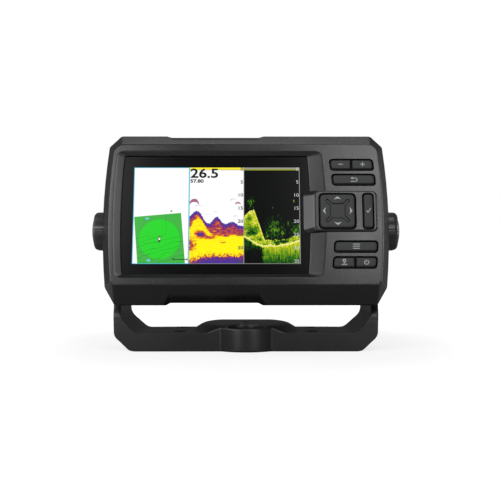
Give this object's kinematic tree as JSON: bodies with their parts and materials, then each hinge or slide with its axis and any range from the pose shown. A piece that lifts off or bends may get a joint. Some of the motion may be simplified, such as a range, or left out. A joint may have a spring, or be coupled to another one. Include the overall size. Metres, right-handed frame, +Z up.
{
  "type": "chartplotter display on a bail bracket",
  "caption": "Small marine chartplotter and fishfinder display with a keypad beside its screen, held by two knobs in a bail bracket that stands on a flat surface.",
  "frame": {"origin": "on the underside of the bracket's foot, below the tilt axis and at the middle of the width", "axes": "+Z up from the mounting surface, +X to the right along the tilt axis as the user sees it, -Y towards the user"},
  "size_m": [0.2056, 0.0739, 0.1421],
  "materials": {
    "case_plastic": "satin moulded charcoal with a fine grain",
    "bracket_plastic": "satin moulded black with a fine grain",
    "socket_plastic": "plain moulded black",
    "key_rubber": "soft matt silicone",
    "seal_rubber": "matt",
    "lens_glass": "polished, bonded to the screen",
    "screen_glass": "polarizer film",
    "light_guide": "clear moulded, white film behind",
    "board_laminate": "green solder mask",
    "ribbon_film": "amber film",
    "steel": "stainless, plain",
    "brass": "turned",
    "aluminium": "mill finish",
    "ceramic": "fired ceramic block",
    "component_black": "moulded"
  },
  "bodies": {
    "bracket": {"bail_bracket": "bracket_plastic"},
    "carrier": {"friction_washer_left": "seal_rubber", "friction_washer_right": "seal_rubber"},
    "display": {"beeper": "component_black", "board_screw_1": "steel", "board_screw_2": "steel", "board_screw_3": "steel", "board_screw_4": "steel", "cover_lens": "lens_glass", "cover_screw_1": "steel", "cover_screw_2": "steel", "cover_screw_3": "steel", "cover_screw_4": "steel", "cover_screw_5": "steel", "cover_screw_6": "steel", "dome_sheet": "steel", "front_bezel": "case_plastic", "gps_antenna": "ceramic", "heat_spreader": "aluminium", "housing_seal": "seal_rubber", "keymat": "key_rubber", "keypad_board": "board_laminate", "keypad_ribbon": "ribbon_film", "knob_insert_left": "brass", "knob_insert_right": "brass", "lcd_backlight": "light_guide", "lcd_cell": "screen_glass", "lcd_frame": "steel", "lcd_ribbon": "ribbon_film", "lens_seal": "seal_rubber", "main_board": "board_laminate", "power_nut": "socket_plastic", "power_pins": "brass", "power_socket": "socket_plastic", "rear_cover": "case_plastic", "shield_can": "steel", "sonar_transformer": "component_black", "supply_capacitor": "aluminium", "transducer_nut": "socket_plastic", "transducer_pins": "brass", "transducer_socket": "socket_plastic", "vent_plug": "seal_rubber"},
    "zoom_out_button": {"key_zoom_out": "key_rubber"},
    "zoom_in_button": {"key_zoom_in": "key_rubber"},
    "back_button": {"key_back": "key_rubber"},
    "select_button": {"key_select": "key_rubber"},
    "menu_button": {"key_menu": "key_rubber"},
    "mark_button": {"key_mark": "key_rubber"},
    "power_button": {"key_power": "key_rubber"},
    "pad_rocker": {"pad_pivot": "seal_rubber"},
    "pad": {"direction_pad": "key_rubber"},
    "left_washer": {"knob_washer_left": "steel"},
    "left_knob": {"knob_left": "bracket_plastic", "knob_stud_left": "steel"},
    "right_washer": {"knob_washer_right": "steel"},
    "right_knob": {"knob_right": "bracket_plastic", "knob_stud_right": "steel"}
  },
  "joints": [
    {"name": "lift_off", "type": "slide", "parent": "bracket", "child": "carrier", "axis": [0, 0, 1], "range_m": [0, 0.07]},
    {"name": "tilt", "type": "hinge", "parent": "carrier", "child": "display", "pos_m": [0, 0, 0.078], "axis": [-1, 0, 0], "range_deg": [-7, 53]},
    {"name": "zoom_out_press", "type": "slide", "parent": "display", "child": "zoom_out_button", "axis": [0, 0.9648, -0.263], "range_m": [0, 0.0008], "stiffness_N_per_m": 1500, "springref_m": -0.0003},
    {"name": "zoom_in_press", "type": "slide", "parent": "display", "child": "zoom_in_button", "axis": [0, 0.9648, -0.263], "range_m": [0, 0.0008], "stiffness_N_per_m": 1500, "springref_m": -0.0003},
    {"name": "back_press", "type": "slide", "parent": "display", "child": "back_button", "axis": [0, 0.9648, -0.263], "range_m": [0, 0.0008], "stiffness_N_per_m": 1500, "springref_m": -0.0003},
    {"name": "select_press", "type": "slide", "parent": "display", "child": "select_button", "axis": [0, 0.9648, -0.263], "range_m": [0, 0.0008], "stiffness_N_per_m": 1500, "springref_m": -0.0003},
    {"name": "menu_press", "type": "slide", "parent": "display", "child": "menu_button", "axis": [0, 0.9648, -0.263], "range_m": [0, 0.0008], "stiffness_N_per_m": 1500, "springref_m": -0.0003},
    {"name": "mark_press", "type": "slide", "parent": "display", "child": "mark_button", "axis": [0, 0.9648, -0.263], "range_m": [0, 0.0008], "stiffness_N_per_m": 1500, "springref_m": -0.0003},
    {"name": "power_press", "type": "slide", "parent": "display", "child": "power_button", "axis": [0, 0.9648, -0.263], "range_m": [0, 0.0008], "stiffness_N_per_m": 1500, "springref_m": -0.0003},
    {"name": "pad_up_down", "type": "hinge", "parent": "display", "child": "pad_rocker", "pos_m": [0.0589, -0.02408, 0.09006], "axis": [1, 0, 0], "range_deg": [-2, 2], "stiffness_Nm_per_rad": 0.4},
    {"name": "pad_left_right", "type": "hinge", "parent": "pad_rocker", "child": "pad", "pos_m": [0.0589, -0.02408, 0.09006], "axis": [0, 0.263, 0.9648], "range_deg": [-2, 2], "stiffness_Nm_per_rad": 0.4},
    {"name": "left_knob_advance", "type": "slide", "parent": "display", "child": "left_washer", "axis": [-1, 0, 0], "range_m": [0, 0.00151]},
    {"name": "left_knob_turn", "type": "hinge", "parent": "left_washer", "child": "left_knob", "pos_m": [0, 0, 0.078], "axis": [-1, 0, 0], "range_deg": [0, 540]},
    {"name": "right_knob_advance", "type": "slide", "parent": "display", "child": "right_washer", "axis": [1, 0, 0], "range_m": [0, 0.00151]},
    {"name": "right_knob_turn", "type": "hinge", "parent": "right_washer", "child": "right_knob", "pos_m": [0, 0, 0.078], "axis": [1, 0, 0], "range_deg": [0, 540]}
  ],
  "couplings": [
    {"joint": "left_knob_advance", "follows": "left_knob_turn", "m_per_rad": 0.00015915},
    {"joint": "right_knob_advance", "follows": "right_knob_turn", "m_per_rad": 0.00015915}
  ]
}
